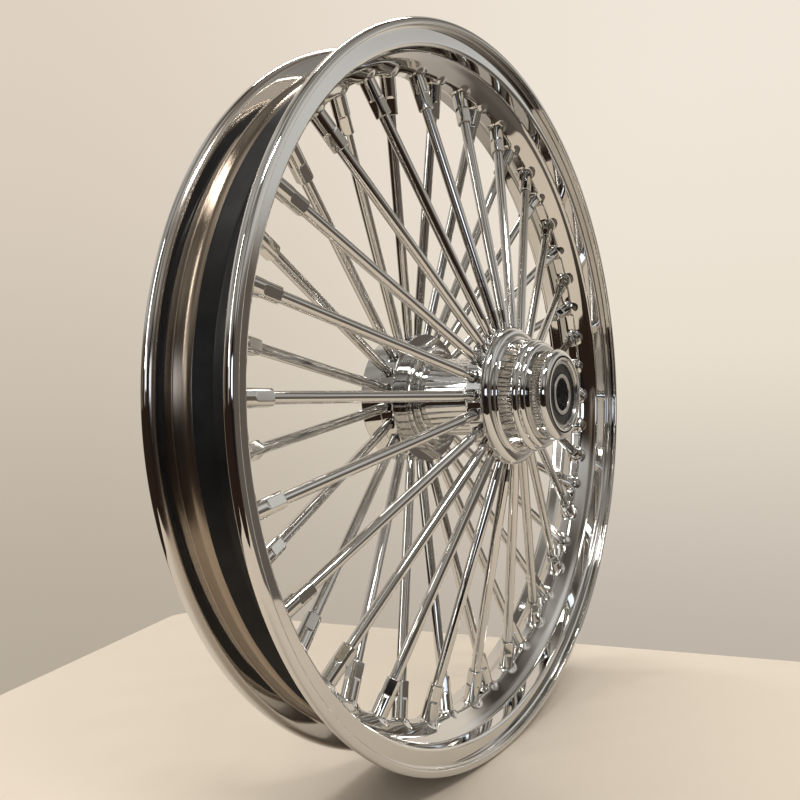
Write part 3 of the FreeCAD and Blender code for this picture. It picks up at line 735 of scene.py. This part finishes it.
def spoke_stations():
    """(distance, radius) along a spoke: head, neck, taper, shank and end."""
    outline = rounded([
        (SPOKE_HEAD_TOP, 0.0),
        (SPOKE_HEAD_TOP, SPOKE_HEAD_RADIUS, 0.5),
        (SPOKE_HEAD_FOOT, SPOKE_HEAD_RADIUS, 0.4),
        (SPOKE_HEAD_FOOT, SPOKE_NECK_RADIUS, 0.2),
        (4.0, SPOKE_NECK_RADIUS, 3.0),
        (14.0, SPOKE_RADIUS, 8.0),
        (SPOKE_LENGTH - 0.8, SPOKE_RADIUS, 0.3),
        (SPOKE_LENGTH, SPOKE_RADIUS - 0.8, 0.2),
        (SPOKE_LENGTH, 0.0),
    ], closed=False, steps=4)
    return [tuple(station) for station in outline[1:-1]]


def round_shape(turns, station):
    return np.full(len(turns), station[1])


def build_tubes(side, name, node, slot, material, stations, turns, shape, chance=None):
    """A tube on each spoke of one side, turned about itself by chance where one is given."""
    points, faces = [], []
    for index in range(SPOKES_PER_SIDE):
        start, along, side_a, side_b = spoke_axis(side, index)
        turn = chance.uniform(0, math.pi / 2) if chance else 0
        turned_a = side_a * math.cos(turn) + side_b * math.sin(turn)
        turned_b = side_b * math.cos(turn) - side_a * math.sin(turn)
        add_tube(points, faces, (start, along, turned_a, turned_b), stations, turns, shape)
    piece = make_object(name, points, faces, material)
    keep_flats_flat(piece)
    shown(piece, "wheel", slot, node)


def build_spokes(side, side_name):
    turns = np.arange(SPOKE_TURNS) * 2 * math.pi / SPOKE_TURNS
    build_tubes(side, side_name + "_spokes_plated", side_name + "_spokes", "spoke_chrome", SPOKE_CHROME,
                spoke_stations(), turns, round_shape)


NIPPLE_START = 175.5
NIPPLE_RADIUS = 6.0
NIPPLE_BORE = 4.05
NIPPLE_HEAD_RADIUS = 7.0
NIPPLE_HEAD_END = 204.2
# Half the width across the spanner flats, where they end, and how they run out
NIPPLE_FLAT = 5.2
NIPPLE_NO_FLAT = 20.0
FLAT_END = 186.4
FLAT_RUN = 2.4
FLAT_RUN_STEPS = 12
FLAT_RUN_CURVE = 5.4
FLAT_EDGE_BLEND = 0.035


def flatted_turns():
    """Turns about a nipple, close together where a flat meets the round."""
    eighth = (15.0, 25.0, 28.6, 30.0, 31.2, 34.0, 40.0)
    quarter = [-part for part in eighth[::-1]] + [0.0, *eighth, 45.0]
    return np.radians([90 * turn + part for turn in range(4) for part in quarter])


def flatted_shape(turns, station):
    """A nipple's radii: round, and cut back to four flats where the station has them."""
    radius, flat = station[1], station[2]
    from_flat = (turns + math.pi / 4) % (math.pi / 2) - math.pi / 4
    return lesser(flat / np.cos(from_flat), radius, FLAT_EDGE_BLEND)


def nipple_stations():
    """(distance, radius, flat) along a nipple, from the bottom of its bore round its hub
    end and flats to its head. The last number below is how far the flats sink in."""
    sides = [
        (NIPPLE_START + 4.0, NIPPLE_BORE, None),
        (NIPPLE_START + 0.4, NIPPLE_BORE, None),
        (NIPPLE_START + 0.1, 4.15, None),
        (NIPPLE_START, 4.4, None),
        (NIPPLE_START, 5.0, None),
        (NIPPLE_START + 0.02, 5.35, 0.25),
        (NIPPLE_START + 0.12, 5.62, 0.1),
        (NIPPLE_START + 0.3, 5.8, 0.02),
    ]
    sides += [(distance, NIPPLE_RADIUS, 0.0) for distance in (176.1, 179.0, 183.0, FLAT_END)]
    for step in range(1, FLAT_RUN_STEPS + 1):
        run = FLAT_RUN * step / FLAT_RUN_STEPS
        sides.append((FLAT_END + run, NIPPLE_RADIUS, -run ** 2 / FLAT_RUN_CURVE))
    sides += [(distance, NIPPLE_RADIUS, None) for distance in (190.0, 194.0, 201.3)]
    sides += [
        (NIPPLE_SEAT_START, 6.05, None),
        (203.1, 6.95, None),
        (203.3, NIPPLE_HEAD_RADIUS, None),
        (NIPPLE_HEAD_END - 0.3, NIPPLE_HEAD_RADIUS, None),
        (NIPPLE_HEAD_END - 0.1, 6.85, None),
        (NIPPLE_HEAD_END, 6.6, None),
    ]
    return [(distance, radius, NIPPLE_NO_FLAT if sunk is None else NIPPLE_FLAT - sunk)
            for distance, radius, sunk in sides]


def build_nipples(side, side_name, seed):
    """Nipples stop turning where the spoke is tight, so each has its own turn."""
    build_tubes(side, side_name + "_nipples_plated", side_name + "_nipples", "nipple_chrome",
                NIPPLE_CHROME, nipple_stations(), flatted_turns(), flatted_shape, random.Random(seed))


# ---- hub

COLUMNS_PER_SPOKE = 16
HUB_COLUMNS = SPOKES_PER_SIDE * COLUMNS_PER_SPOKE
# The collars that hold the spoke heads: their two rims' offsets and their radii
COLLAR_INNER_END = 33.5
COLLAR_OUTER_END = 46.5
COLLAR_RADIUS = 54.6
POCKET_RADIUS = 48.5
POCKET_FLOOR = 36.0
POCKET_WALL = 41.0
COLLAR_ROW_PITCH = 1.0
POCKET_ROW_PITCH = 0.83
HOLE_ROWS = 6
SPOKE_HOLE = 3.6
HEAD_HOLE = 4.75
HOLE_MOUTH = 4.9
HOUSING_RADIUS = 34.8
BEARING_RADIUS = 26.0
BARREL_RADIUS = 32.3
SPACE_RADIUS = 22.0


def build_hub_shell():
    """The shell: right housing and collar, barrel with two beads, left collar and register."""
    body = Turned(HUB_COLUMNS)
    rows = np.arange(-HOLE_ROWS, HOLE_ROWS + 1)

    def section(corners):
        body.plain(rounded(corners, closed=False))

    right_housing = [
        (SPACE_RADIUS, -72.0), (SPACE_RADIUS, -73.0, 0.2), (BEARING_RADIUS, -73.0, 0.1),
        (BEARING_RADIUS, -88.9, 0.1), (26.6, -89.5, 0.2), *bulged((29.5, -89.5), (35.0, -84.0), 5.5),
        (34.3, -83.6, 0.15), (HOUSING_RADIUS, -75.0), (HOUSING_RADIUS, -COLLAR_OUTER_END, 0.1)]
    right_pocket = [
        (POCKET_WALL, -COLLAR_OUTER_END, 0.2), (POCKET_WALL, -POCKET_FLOOR, 0.5),
        (POCKET_RADIUS, -POCKET_FLOOR, 0.1)]
    barrel = [
        (33.0, -COLLAR_INNER_END), (BARREL_RADIUS, -COLLAR_INNER_END, 0.6), (BARREL_RADIUS, -31.0),
        (BARREL_RADIUS, -10.0), (BARREL_RADIUS, 10.0), (BARREL_RADIUS, 19.6, 0.3), (35.0, 19.6, 0.3),
        (36.9, 20.6, 1.2), (36.9, 22.8, 1.0), (36.2, 23.6, 0.2), (40.2, 23.6, 0.2), (42.9, 24.4, 1.4),
        (42.9, 26.8, 1.2), (42.2, 27.6, 0.2), (45.0, 27.6, 0.4), (45.0, COLLAR_INNER_END, 0.3)]
    left_pocket = [
        (POCKET_RADIUS, 36.1), (POCKET_RADIUS, POCKET_FLOOR, 0.1), (POCKET_WALL, POCKET_FLOOR, 0.5),
        (POCKET_WALL, COLLAR_OUTER_END, 0.2)]
    left_housing = [
        (HOUSING_RADIUS, COLLAR_OUTER_END, 0.1), (HOUSING_RADIUS, 66.0, 0.3), (28.1, 66.0, 0.2),
        (28.1, 78.0, 0.7), (BEARING_RADIUS, 78.0, 0.2), (BEARING_RADIUS, 62.0, 0.1),
        (SPACE_RADIUS, 62.0, 0.2), (SPACE_RADIUS, 61.0)]

    collar, pocket = cylinder_surface(COLLAR_RADIUS), cylinder_surface(POCKET_RADIUS)
    collars, pockets = {}, {}
    section(right_housing + right_pocket)
    pockets[RIGHT] = body.zone(pocket, -41.25 + rows * POCKET_ROW_PITCH)
    section([(48.5, -COLLAR_OUTER_END), (48.6, -COLLAR_OUTER_END),
             (COLLAR_RADIUS, -COLLAR_OUTER_END, 0.35), (COLLAR_RADIUS, -46.0)])
    collars[RIGHT] = body.zone(collar, -40.0 + rows * COLLAR_ROW_PITCH)
    section([(COLLAR_RADIUS, -34.0), (COLLAR_RADIUS, -COLLAR_INNER_END, 0.35), *barrel,
             (COLLAR_RADIUS, COLLAR_INNER_END, 0.35), (COLLAR_RADIUS, 34.0)])
    collars[LEFT] = body.zone(collar, 40.0 + rows * COLLAR_ROW_PITCH)
    section([(COLLAR_RADIUS, 46.0), (COLLAR_RADIUS, COLLAR_OUTER_END, 0.35),
             (48.6, COLLAR_OUTER_END), (48.5, COLLAR_OUTER_END)])
    pockets[LEFT] = body.zone(pocket, 41.25 - rows * POCKET_ROW_PITCH)
    section(left_pocket + left_housing)

    bore = ((-1.5, 3.7), (-1.7, SPOKE_HOLE), (SPOKE_HEAD_FOOT, SPOKE_HOLE), (SPOKE_HEAD_FOOT, HEAD_HOLE))
    for side in (RIGHT, LEFT):
        for index in range(SPOKES_PER_SIDE):
            column = index * COLUMNS_PER_SPOKE + (0 if side == RIGHT else COLUMNS_PER_SPOKE // 2)
            axis = spoke_axis(side, index)
            outer, turns = body.ring_on(collars[side], column, HOLE_ROWS, HOLE_ROWS, axis, HOLE_MOUTH)
            outer = body.wall(outer, turns, axis, bore)
            inner, inner_turns = body.ring_on(pockets[side], column, HOLE_ROWS, HOLE_ROWS, axis, HEAD_HOLE)
            join_rings(body, outer, turns, inner, inner_turns)
    piece = body.build("hub_shell_plated", HUB_CHROME)
    keep_flats_flat(piece)
    shown(piece, "wheel", "hub_chrome", "hub_shell")


COVER_BORE = HOUSING_RADIUS + 0.05
FLANGE_RADIUS = 54.8
COVER_END = 75.0
COVER_COLUMNS = 256


def build_hub_cover():
    """The cover: a rounded flange, a fillet up to a band, and two beads beyond it."""
    flange = bulged((FLANGE_RADIUS, 46.9), (48.4, 53.3), 6.4)
    fillet = bulged((44.5, 55.4), (46.2, 53.7), 2.2)[::-1]
    first_bead = bulged((43.8, 65.6), (40.8, 70.1), 3.7)
    second_bead = bulged((41.1, 70.9), (37.0, COVER_END), 3.7)
    corners = [(COVER_BORE, COLLAR_OUTER_END, 0.2), (FLANGE_RADIUS, COLLAR_OUTER_END, 0.1), *flange,
               (46.6, 53.3, 0.25), *fillet, (43.7, 65.2, 0.15), *first_bead, *second_bead,
               (COVER_BORE, COVER_END, 0.2)]
    corners = [(corner[0], -corner[1], *corner[2:]) for corner in corners]
    piece = lathe("right_hub_cover_plated", corners, COVER_CHROME, COVER_COLUMNS, steps=14)
    shown(piece, "wheel", "cover_chrome", "right_hub_cover")


DISC_FACE = 66.0
DISC_BOLTS = 5
BOLT_CIRCLE = 41.275
CARRIER_COLUMNS = 360
CARRIER_ROWS = 8
CARRIER_ROW_PITCH = 0.7
BOLT_BLOCK = 7
THREADS = 12
THREAD_PITCH = 1.2
THREAD_CREST = 3.6
THREAD_ROOT = 3.98


def threaded_hole():
    """(depth, radius) down a bolt hole: its mouth, its thread and the drill's cone."""
    stations = [(0.45, 4.02)]
    for thread in range(THREADS):
        depth = 0.9 + thread * THREAD_PITCH
        stations += [(depth, THREAD_CREST), (depth + THREAD_PITCH / 2, THREAD_ROOT)]
    return stations + [(16.0, 3.4), (17.6, 0.05)]


def build_disc_carrier():
    """The disc's ring, with five threaded holes in its face."""
    body = Turned(CARRIER_COLUMNS)
    body.plain(rounded([(COVER_BORE, 47.0), (COVER_BORE, COLLAR_OUTER_END, 0.2),
                        (FLANGE_RADIUS, COLLAR_OUTER_END, 0.3), (FLANGE_RADIUS, DISC_FACE, 1.4),
                        (48.4, DISC_FACE)], closed=False))
    radii = BOLT_CIRCLE + np.arange(CARRIER_ROWS, -CARRIER_ROWS - 1, -1) * CARRIER_ROW_PITCH
    face = body.zone(lambda angle, radius: (radius, DISC_FACE), radii)
    body.plain(rounded([(35.4, DISC_FACE), (COVER_BORE, DISC_FACE, 0.2), (COVER_BORE, 65.0)],
                       closed=False))
    for index in range(DISC_BOLTS):
        angle = REST_TURN + index * 2 * math.pi / DISC_BOLTS
        middle = wheel_point(BOLT_CIRCLE, angle, DISC_FACE)
        axis = (middle, np.array((0.0, -1.0, 0.0)), wheel_point(1.0, angle, 0.0),
                wheel_point(1.0, angle + math.pi / 2, 0.0))
        column = index * CARRIER_COLUMNS // DISC_BOLTS
        ring, turns = body.ring_on(face, column, CARRIER_ROWS, BOLT_BLOCK, axis, 4.5)
        ring = body.wall(ring, turns, axis, threaded_hole())
        body.extra_faces.append(tuple(ring))
    piece = body.build("left_disc_carrier_plated", COVER_CHROME)
    keep_flats_flat(piece)
    shown(piece, "wheel", "cover_chrome", "left_disc_carrier")


# ---- bearings

BEARING_COLUMNS = 192
BEARING_HALF_WIDTH = 7.5
AXLE_RADIUS = 12.5
INNER_STEP = 15.6
INNER_LAND = 16.6
OUTER_LAND = 21.9
RACE_GROOVE = 22.9
OUTER_STEP = 23.3


def build_bearing(side_name, centre, outward):
    """One bearing's rings and seals; its balls and cage stay as the CAD made them."""
    half = BEARING_HALF_WIDTH
    outer_half = [(RACE_GROOVE, 1.7, 1.5), (OUTER_LAND, 3.07), (OUTER_LAND, 5.5, 0.2),
                  (OUTER_STEP, 5.5, 0.1), (OUTER_STEP, half, 0.15), (BEARING_RADIUS, half, 0.7)]
    inner_half = [(INNER_STEP, 1.7, 1.5), (INNER_LAND, 3.07), (INNER_LAND, 5.5, 0.2),
                  (INNER_STEP, 5.5, 0.1), (INNER_STEP, half, 0.35), (AXLE_RADIUS, half, 0.8)]
    seal_corners = [(15.7, 5.65, 0.15), (23.2, 5.65, 0.15), (23.2, 6.45, 0.25), (22.7, 6.85, 0.3),
                    (22.2, 6.85, 0.2), (21.9, 6.62, 0.2), (17.8, 6.62, 0.3), (17.3, 6.88, 0.25),
                    (16.6, 6.88, 0.25), (16.2, 6.35, 0.2), (15.7, 6.35, 0.2)]

    def whole(corners):
        return corners + [(radius, -offset, *more) for radius, offset, *more in corners[::-1]]

    def placed(corners, facing=1):
        return [(corner[0], centre + facing * corner[1], *corner[2:]) for corner in corners]

    prefix = side_name + "_bearing_"
    ring = lathe(prefix + "outer_race", placed(whole(outer_half)), BEARING_STEEL, BEARING_COLUMNS)
    shown(ring, "wheel", "bearing_steel", prefix + "outer_ring")
    ring = lathe(prefix + "inner_race", placed(whole(inner_half)), BEARING_STEEL, BEARING_COLUMNS)
    shown(ring, "axle_group", "bearing_steel", prefix + "inner_ring")
    for which, facing in (("outer_seal", outward), ("inner_seal", -outward)):
        seal = lathe(prefix + which + "_rubber", placed(seal_corners, facing), SEAL_RUBBER,
                     BEARING_COLUMNS)
        shown(seal, "wheel", "seal_rubber", prefix + which)
    for part, material in (("balls", BALL_STEEL), ("cage", CAGE_PLASTIC)):
        finish_node(prefix + part, material)


def finish_node(name, material):
    """Gives a CAD node that stays as it is its finished material."""
    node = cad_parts[name]
    for place in node.material_slots:
        place.material = material
    if not node.material_slots:
        node.data.materials.append(material)


# ---- room, light and camera

# Lengths from here on are in metres
TABLE_CORNER = np.array((0.110, 0.518))
TABLE_LENGTH = 0.82
TABLE_DEPTH = 1.1
TABLE_TURN = math.radians(200.3)
TABLE_THICKNESS = 0.035
TABLE_CORNER_ROUNDING = 0.03
TABLE_EDGE_ROUNDING = 0.006
TABLE_GAP = 0.0005
TABLE_CREAM = (0.80, 0.715, 0.605)


def build_table():
    """The table under the wheel: a slab with rounded corners and edges, for the room only."""
    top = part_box("rim")[0].z - TABLE_GAP
    long_way = np.array((math.cos(TABLE_TURN), math.sin(TABLE_TURN)))
    deep_way = np.array((-long_way[1], long_way[0]))
    corners = [TABLE_CORNER, TABLE_CORNER + long_way * TABLE_LENGTH,
               TABLE_CORNER + long_way * TABLE_LENGTH + deep_way * TABLE_DEPTH,
               TABLE_CORNER + deep_way * TABLE_DEPTH]
    outline = rounded([(*corner, TABLE_CORNER_ROUNDING) for corner in corners], steps=10)
    mesh = bpy.data.meshes.new("table")
    shape = bmesh.new()
    face = shape.faces.new([shape.verts.new((x, y, top)) for x, y in outline])
    for part in bmesh.ops.extrude_face_region(shape, geom=[face])["geom"]:
        if isinstance(part, bmesh.types.BMVert):
            part.co.z -= TABLE_THICKNESS
    bmesh.ops.recalc_face_normals(shape, faces=shape.faces)
    shape.to_mesh(mesh)
    shape.free()
    mesh.materials.append(clouded("table_cream", TABLE_CREAM, 0.55, scale=3.0, low=0.3, high=0.7,
                                  change=0.97))
    table = linked("table", mesh)
    edge = table.modifiers.new("edge", "BEVEL")
    edge.width, edge.segments = TABLE_EDGE_ROUNDING, 4


LIGHT_TINT = (1, 0.97, 0.93)


def add_area_light(name, place, size, power):
    """A rectangular light that faces the wheel."""
    light = bpy.data.lights.new(name, "AREA")
    light.shape = "RECTANGLE"
    light.size, light.size_y = size
    light.energy = power
    light.color = LIGHT_TINT
    holder = linked(name, light)
    holder.location = place
    holder.rotation_mode = "QUATERNION"
    holder.rotation_quaternion = (-Vector(place)).to_track_quat("-Z", "Y")


# Level directions from the wheel: the pale wall, the wall's brighter side, and the camera
WALL_WAY = (0.8137, 0.5813, 0.0)
SIDE_WAY = (0.5813, -0.8137, 0.0)
BACK_WAY = (-0.8137, -0.5813, 0.0)


class Sky:
    """Builds the room all round as colours by direction."""

    def __init__(self, tree):
        self.tree = tree
        self.way = new_node(tree, "TexCoord").outputs["Generated"]

    def along(self, way):
        return maths(self.tree, "VectorMath", "DOT_PRODUCT", self.way, way)["Value"]

    def smooth(self, value, low, high):
        """Rises softly from 0 to 1 as a value goes from low to high."""
        step = new_node(self.tree, "MapRange", From_Min=low, From_Max=high, Value=value)
        step.interpolation_type = "SMOOTHSTEP"
        return step.outputs["Result"]

    def multiply(self, one, other):
        return maths(self.tree, "Math", "MULTIPLY", one, other)["Value"]

    def window(self, centre, width, low, high):
        """1 inside a patch round a level direction, between two heights, and 0 outside."""
        inside = self.smooth(self.along(centre), math.cos(width) - 0.004, math.cos(width))
        height = self.along((0.0, 0.0, 1.0))
        above = self.smooth(height, low - 0.01, low + 0.01)
        below = self.smooth(height, high + 0.01, high - 0.01)
        return self.multiply(inside, self.multiply(above, below))

    def mix(self, factor, one, other):
        return mixed(self.tree, "RGBA", factor, one, other)

    def clutter(self, stretch, scale, stops):
        """Blotches of furniture and shelves: a noise drawn out up and down."""
        drawn_out = new_node(self.tree, "Mapping", Scale=stretch, Vector=self.way).outputs["Vector"]
        noise = new_node(self.tree, "TexNoise", Scale=scale, Detail=2.5, Distortion=0.4, Vector=drawn_out)
        return shades(self.tree, noise.outputs["Fac"], stops)


# Blotches of the room by noise level: below, furniture and shelves; above, a grey ceiling
ROOM_BLOTCHES = (
    (0.36, (0.006, 0.005, 0.004)), (0.44, (0.022, 0.016, 0.011)), (0.49, (0.08, 0.05, 0.03)),
    (0.52, (0.24, 0.19, 0.14)), (0.55, (0.05, 0.038, 0.03)), (0.60, (0.34, 0.31, 0.27)),
    (0.66, (0.80, 0.80, 0.80)))
CEILING_BLOTCHES = (
    (0.36, (0.07, 0.06, 0.05)), (0.46, (0.24, 0.22, 0.19)), (0.54, (0.45, 0.43, 0.40)),
    (0.64, (0.74, 0.73, 0.71)))
# The pale wall from its foot up, and the same on its brighter side
WALL_SHADES = (
    (0.0, (0.42, 0.368, 0.295)), (0.25, (0.50, 0.437, 0.352)), (0.5, (0.60, 0.53, 0.432)),
    (0.75, (0.69, 0.603, 0.50)), (1.0, (0.75, 0.655, 0.55)))
BRIGHT_WALL_SHADES = (
    (0.0, (0.47, 0.415, 0.355)), (0.18, (0.558, 0.497, 0.429)), (0.65, (0.814, 0.736, 0.617)),
    (1.0, (0.87, 0.79, 0.69)))
SKIRTING_TONE = (0.030, 0.018, 0.012)
PERSON_TONE = (0.012, 0.011, 0.013)
DARK_SIDE_TONE = (0.15, 0.13, 0.11)
# Each window's direction, half width as an angle, lower and upper height, and colour
WINDOWS = (
    ((-0.75, -0.65, 0.05), 0.22, -0.01, 0.14, (2.2, 2.4, 2.8)),
    ((-0.95, 0.30, 0.05), 0.16, 0.02, 0.22, (1.8, 1.85, 1.9)))


def paint_sky():
    """The room as seen from the wheel. Heights are sines: 0 is level and 1 straight up."""
    world = bpy.data.worlds.new("room")
    bpy.context.scene.world = world
    world.use_nodes = True
    sky = Sky(world.node_tree)
    height = sky.along((0.0, 0.0, 1.0))
    front = sky.along(WALL_WAY)
    side = sky.along(SIDE_WAY)
    room = sky.clutter((1.0, 1.0, 0.35), 3.2, ROOM_BLOTCHES)
    ceiling = sky.clutter((1.0, 1.0, 1.0), 1.7, CEILING_BLOTCHES)
    colour = sky.mix(sky.smooth(height, 0.16, 0.30), room, ceiling)
    colour = sky.mix(sky.smooth(height, -0.02, -0.05), colour, SKIRTING_TONE)
    person = sky.multiply(sky.smooth(sky.along(BACK_WAY), 0.93, 0.96), sky.smooth(height, 0.34, 0.22))
    colour = sky.mix(person, colour, PERSON_TONE)
    for centre, width, low, high, glow in WINDOWS:
        colour = sky.mix(sky.window(centre, width, low, high), colour, glow)
    dark_side = sky.multiply(sky.smooth(side, 0.55, 0.80), sky.smooth(height, 0.25, 0.12))
    colour = sky.mix(dark_side, colour, DARK_SIDE_TONE)
    wall = shades(world.node_tree, sky.smooth(height, -0.6, 0.7), WALL_SHADES)
    bright_wall = shades(world.node_tree, sky.smooth(height, -0.45, 0.45), BRIGHT_WALL_SHADES)
    wall = sky.mix(sky.smooth(side, -0.45, 0.35), wall, bright_wall)
    colour = sky.mix(sky.smooth(front, 0.42, 0.60), colour, wall)
    background = world.node_tree.nodes["Background"]
    world.node_tree.links.new(colour, background.inputs["Color"])
    background.inputs["Strength"].default_value = 1.0


def light_room():
    paint_sky()
    add_area_light("key_light", place=(-0.8, -1.0, 1.5), size=(0.9, 0.12), power=14)
    add_area_light("ceiling_strip", place=(0.5, 0.3, 2.0), size=(1.6, 0.2), power=24)
    add_area_light("low_fill", place=(-1.4, 0.9, 0.6), size=(0.1, 0.9), power=3.5)
    bpy.context.scene.view_settings.view_transform = "Standard"


# The camera of the picture, in metres and millimetres of lens
CAMERA_PLACE = (-0.505, -0.296, -0.021)
CAMERA_LOOK = (0.8132, 0.5812, 0.0313)
CAMERA_LENS = 31.35
SENSOR_WIDTH = 36.0


def add_camera():
    camera = linked("camera", bpy.data.cameras.new("camera"))
    camera.location = CAMERA_PLACE
    camera.rotation_mode = "QUATERNION"
    camera.rotation_quaternion = Vector(CAMERA_LOOK).to_track_quat("-Z", "Y")
    camera.data.sensor_width = SENSOR_WIDTH
    camera.data.lens = CAMERA_LENS
    camera.data.clip_start, camera.data.clip_end = 0.01, 50
    bpy.context.scene.camera = camera


def build_wheel():
    build_rim()
    build_strip()
    build_spokes(RIGHT, "right")
    build_spokes(LEFT, "left")
    build_nipples(RIGHT, "right", seed=11)
    build_nipples(LEFT, "left", seed=23)
    build_hub_shell()
    build_hub_cover()
    build_disc_carrier()
    build_bearing("right", -80.5, RIGHT)
    build_bearing("left", 69.5, LEFT)
    finish_node("bearing_spacer", SPACER_STEEL)


add_camera()
build_wheel()
build_table()
light_room()
